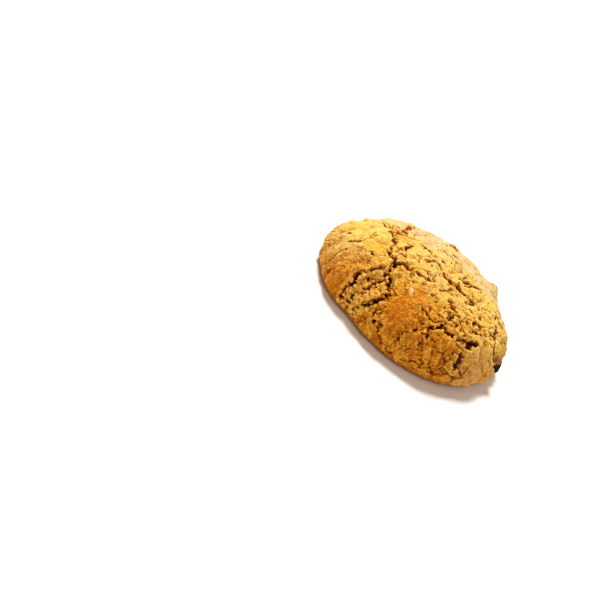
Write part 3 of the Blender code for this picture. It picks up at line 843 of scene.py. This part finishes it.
def joined_mesh(name, blobs, faces):
    """One mesh from many copies of a template's points."""
    count = len(blobs[0])
    points = np.concatenate(blobs)
    all_faces = np.concatenate([faces + count * k for k in range(len(blobs))])
    mesh = bpy.data.meshes.new(name)
    mesh.from_pydata(points * MM, [], all_faces.tolist())
    mesh.update()
    return mesh


# Crumbs: how many, their radii, how deep they sit and how much they may overlap, as shares of the radius
CRUMB_SEED = 7
CRUMB_COUNT = 480
CRUMB_RADII = (0.45, 1.05)
CRUMB_SINK = 0.25
CRUMB_OVERLAP = 0.45
# How many candidate places are drawn for each crumb
CANDIDATES = 6
# A crumb's stretch, its broken sides, how far out they cut it and how flat they are
CRUMB_STRETCH = (0.72, 1.3)
CRUMB_FACETS = 8
FACET_DEPTHS = (0.45, 0.85)
FACET_FLATNESS = 0.9
# How far down a crumb turns red-brown as painted shade where it meets the crust, as shares of its radius
# above its middle
SUNK_EDGE = (0.35, -0.45)
# Crumbs also lie along cracks: their weight there, up to which depth mask and how far back. None lie lower
# than this over the table
CRACK_CRUMBS = 0.2
CRACK_CRUMBS_DEEPEST = 0.7
CRACK_CRUMBS_END = 14.0
CRUMBS_LOWEST = 3.0
BLOB_DETAIL = 3


def spread(draw, places, weight):
    """Picks places for crumbs by weight, with a drawn radius each, so that none sits inside another."""
    picked, sizes = [], []
    count = min(len(places), CRUMB_COUNT * CANDIDATES)
    for k in draw.choice(len(places), count, replace=False, p=weight / weight.sum()):
        radius = draw.uniform(*CRUMB_RADII)
        if picked:
            gap = np.linalg.norm(places[picked] - places[k], axis=1) - np.array(sizes) - radius
            if gap.min() < -CRUMB_OVERLAP * radius:
                continue
        picked.append(k)
        sizes.append(radius)
        if len(picked) == CRUMB_COUNT:
            break
    return picked, sizes


def crumb_blob(ball, radius, draw):
    """A small chunk: a stretched ball with flat broken sides."""
    chunk = ball * draw.uniform(*CRUMB_STRETCH, 3)
    for _ in range(CRUMB_FACETS):
        side = draw.standard_normal(3)
        side /= np.linalg.norm(side)
        over = np.clip(chunk @ side - draw.uniform(*FACET_DEPTHS), 0.0, None)
        chunk = chunk - FACET_FLATNESS * over[:, None] * side
    return chunk * radius


def add_crumbs(places, normals, masks, finish):
    """Broken crumbs that stand in the open crumb and along the cracks."""
    draw = np.random.default_rng(CRUMB_SEED)
    in_cracks = (masks["crack"] < CRACK_CRUMBS_DEEPEST) * (places[:, 1] < CRACK_CRUMBS_END)
    weight = masks["crumb"] + CRACK_CRUMBS * masks["crack"] * in_cracks
    picked, sizes = spread(draw, places, weight * (places[:, 2] > CRUMBS_LOWEST))
    ball, faces = blob_template(BLOB_DETAIL)
    blobs, sunk_shade = [], []
    for k, radius in zip(picked, sizes):
        chunk = crumb_blob(ball, radius, draw)
        blobs.append(chunk + places[k] - normals[k] * radius * CRUMB_SINK)
        sunk_shade.append(smooth_step(*SUNK_EDGE, chunk @ normals[k] / radius))
    mesh = joined_mesh("crumbs", blobs, faces)
    set_mask(mesh, "sunk_shade", np.concatenate(sunk_shade))
    crumbs = add_object("crumbs", mesh, finish)
    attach(crumbs, "root")


# Where the photo seems to show an oat flake: plan place, length and bearing. More lie about on the far half
SHOWN_OATS = (
    (-2.8, -21.9, 3.4, 116.0), (-4.4, -18.8, 2.0, 110.0), (-16.0, -5.8, 2.6, 80.0), (26.5, -12.5, 3.2, 10.0),
    (-12.8, -8.4, 2.2, 40.0), (-9.6, -25.6, 2.2, 120.0), (5.0, -14.0, 2.4, 150.0),
)
OAT_SEED = 19
OAT_COUNT = 26
OAT_LENGTHS = (1.8, 3.2)
# Random flakes are drawn within a square and kept within a circle, both around the middle
OAT_SQUARE = 34.0
OAT_REACH = 31.0
# A flake's half width as a share of its length, its half thickness, and how uneven its edge is
OAT_HALF_WIDTHS = (0.20, 0.28)
OAT_HALF_THICKNESS = 0.24
OAT_LUMPS = 0.08
# How much a flake arches along its length, and the depth and breadth of its crease
OAT_ARCH, OAT_ARCH_TURN = 0.10, 2.5
OAT_CREASE, OAT_CREASE_BREADTH = 0.16, 0.25
# A flake lies on the mean of this many of the crust's nearest points above the foot, where those lower than
# this don't count
GROUND_POINTS = 12
GROUND_LOWEST = 3.0
FAR_OFF = 99.0


def oat_blob(ball, pose, length, draw):
    """One rolled oat: a thin oval flake with a crease along it and an uneven edge."""
    lumps = 1.0 + OAT_LUMPS * draw.standard_normal(len(ball))
    halves = np.array([length / 2.0, length * draw.uniform(*OAT_HALF_WIDTHS), OAT_HALF_THICKNESS])
    flake = ball * lumps[:, None] * halves
    arch = OAT_ARCH * np.cos(ball[:, 0] * OAT_ARCH_TURN)
    crease = OAT_CREASE * np.exp(-((ball[:, 1] / OAT_CREASE_BREADTH) ** 2)) * (ball[:, 2] > 0)
    flake[:, 2] += arch - crease
    turn = np.array(pose.to_3x3())
    return flake @ turn.T + np.array(pose.translation) / MM


def add_oats(places, finish):
    """Oat flakes half sunk in the crust."""
    draw = np.random.default_rng(OAT_SEED)
    ball, faces = blob_template(BLOB_DETAIL)
    blobs = []
    spots = list(SHOWN_OATS)
    while len(spots) < OAT_COUNT:
        x, y = draw.uniform(-OAT_SQUARE, OAT_SQUARE, 2)
        if math.hypot(x, y) < OAT_REACH and y > 0.0:
            spots.append((x, y, draw.uniform(*OAT_LENGTHS), draw.uniform(0.0, 180.0)))
    for x, y, length, bearing in spots:
        nearby = np.hypot(places[:, 0] - x, places[:, 1] - y) + FAR_OFF * (places[:, 2] < GROUND_LOWEST)
        ground = places[np.argsort(nearby)[:GROUND_POINTS]].mean(axis=0)
        pose = seat(x, y, 0.0, bearing)
        pose.translation = Vector(ground) * MM
        blobs.append(oat_blob(ball, pose, length, draw))
    oats = add_object("oats", joined_mesh("oats", blobs, faces), finish)
    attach(oats, "root")


RAISIN_DETAIL = 6
# Each raisin's wrinkles are shifted by this much for each unit of its name's letters
NAME_SHIFT = 0.37
# Wrinkles, as shares of the radius: noise width, shift, sharpness, depth and power
FOLDS = (0.55, 0.0, 2.2, 0.20, 2)
CREASES = (0.28, 9.0, 2.0, 0.07, 3)
# The way the edge raisin's bare black tip points, which is also its painted shaded side, and where the film
# of dough on it, painted paler as its lit side, ends and is full
TIP_DIRECTION = (0.60, -0.39, -0.70)
LIT_FILM_EDGE = (0.36, 0.18)
LIT_FILM_WAVER = (0.15, 0.5, 3.0)


def add_raisin(name, finish):
    """A wrinkled raisin, seated where its solid is."""
    x, y, depth, size, bearing = RAISINS[name]
    pose = seat(x, y, depth, bearing)
    shape = bmesh.new()
    bmesh.ops.create_icosphere(shape, subdivisions=RAISIN_DETAIL, radius=1.0)
    mesh = bpy.data.meshes.new(name + "_skin")
    shape.to_mesh(mesh)
    shape.free()
    ball = vertex_array(mesh, "co")
    name_shift = sum(map(ord, name)) * NAME_SHIFT
    radius = np.ones(len(ball))
    for width, shift, sharpness, wrinkle_depth, power in (FOLDS, CREASES):
        wrinkle = 1.0 - np.abs(noise_at(ball, width, name_shift + shift)) * sharpness
        radius -= wrinkle_depth * np.clip(wrinkle, 0.0, 1.0) ** power
    lit_film, bare_shaded_tip = np.zeros(len(ball)), np.zeros(len(ball))
    # Edge raisin: a pale film on the upper side as painted light, a bare black tip below as painted shade
    if name == "raisin_edge":
        tip = ball @ np.array(pose.to_3x3()).T @ np.array(TIP_DIRECTION)
        lit_film = smooth_step(*LIT_FILM_EDGE, wavering(tip, ball, LIT_FILM_WAVER))
        bare_shaded_tip = 1.0 - lit_film
    set_vertices(mesh, ball * radius[:, None] * np.array(size) / 2.0)
    mesh.transform(pose)
    set_mask(mesh, "lit_film", lit_film)
    set_mask(mesh, "bare_shaded_tip", bare_shaded_tip)
    raisin = add_object(name + "_skin", mesh, finish)
    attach(raisin, "root")
    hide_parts(name)


def camera_axes():
    """The camera's back, right and up directions, rolled as the photograph shows the cookie."""
    back = Vector((0.0, -math.cos(CAMERA_ELEVATION), math.sin(CAMERA_ELEVATION)))
    level_up = Vector((0.0, math.sin(CAMERA_ELEVATION), math.cos(CAMERA_ELEVATION)))
    along = Vector((1.0, 0.0, 0.0))
    right = math.cos(CAMERA_ROLL) * along + math.sin(CAMERA_ROLL) * level_up
    up = -math.sin(CAMERA_ROLL) * along + math.cos(CAMERA_ROLL) * level_up
    return back, right, up


def add_camera():
    """The photograph's view: the cookie sits right of the middle of the frame."""
    back, right, up = camera_axes()
    middle = Vector((0.0, 0.0, RIM_HEIGHT * MM))
    target = middle - right * SIDE_SHIFT + up * UP_SHIFT
    data = bpy.data.cameras.new("camera")
    camera = bpy.data.objects.new("camera", data)
    bpy.context.scene.collection.objects.link(camera)
    camera.location = middle + back * CAMERA_DISTANCE
    out = (camera.location - target).normalized()
    side = up.cross(out).normalized()
    camera.rotation_mode = "QUATERNION"
    camera.rotation_quaternion = Matrix((side, out.cross(side), out)).transposed().to_quaternion()
    data.sensor_width = SENSOR
    data.lens = SENSOR * CAMERA_DISTANCE / FRAME_WIDTH
    data.clip_start = NEAR_CLIP
    bpy.context.scene.camera = camera


# The stage, in metres and watts: the floor's half width and how far it lies under the cookie, how bright the
# surroundings are, and the lights' distance, direction, size and power
FLOOR_HALF = 8.0
FLOOR_DROP = 0.0002
SURROUNDINGS_STRENGTH = 0.32
LIGHT_DISTANCE = 2.0
LIGHTS = {"key": ((-0.30, 0.47, 0.84), 0.6, 57.0), "fill": ((0.4, -0.8, 0.7), 1.2, 9.5)}


def add_light(name, direction, size, power):
    """A square soft light that faces the cookie."""
    data = bpy.data.lights.new(name, "AREA")
    data.shape = "SQUARE"
    data.size = size
    data.energy = power
    light = bpy.data.objects.new(name, data)
    bpy.context.scene.collection.objects.link(light)
    light.location = Vector(direction).normalized() * LIGHT_DISTANCE
    light.rotation_mode = "QUATERNION"
    light.rotation_quaternion = Vector(direction).to_track_quat("Z", "Y")


def add_stage():
    """A white floor, warm surroundings and soft studio lights."""
    floor_mesh = bpy.data.meshes.new("floor")
    signs = ((-1, -1), (1, -1), (1, 1), (-1, 1))
    corners = [(x * FLOOR_HALF, y * FLOOR_HALF, -FLOOR_DROP) for x, y in signs]
    floor_mesh.from_pydata(corners, [], [(0, 1, 2, 3)])
    white = Finish("white_floor", 0.9, 0.1)
    white.shader.inputs["Base Color"].default_value = FLOOR_WHITE
    floor = add_object("floor", floor_mesh, white.material)
    world = bpy.data.worlds.new("studio")
    bpy.context.scene.world = world
    world.use_nodes = True
    background = world.node_tree.nodes["Background"].inputs
    background["Color"].default_value = WARM_SURROUNDINGS
    background["Strength"].default_value = SURROUNDINGS_STRENGTH
    for name, (direction, size, power) in LIGHTS.items():
        add_light(name, direction, size, power)


def main():
    """Builds the cookie's pieces, the stage and the camera."""
    places, normals, masks = add_crust(crust_finish())
    add_crumbs(places, normals, masks, crumb_finish())
    add_oats(places, oat_finish())
    skin = raisin_finish()
    for name in RAISINS:
        add_raisin(name, skin)
    add_stage()
    add_camera()
    bpy.context.scene.view_settings.view_transform = "Standard"


main()
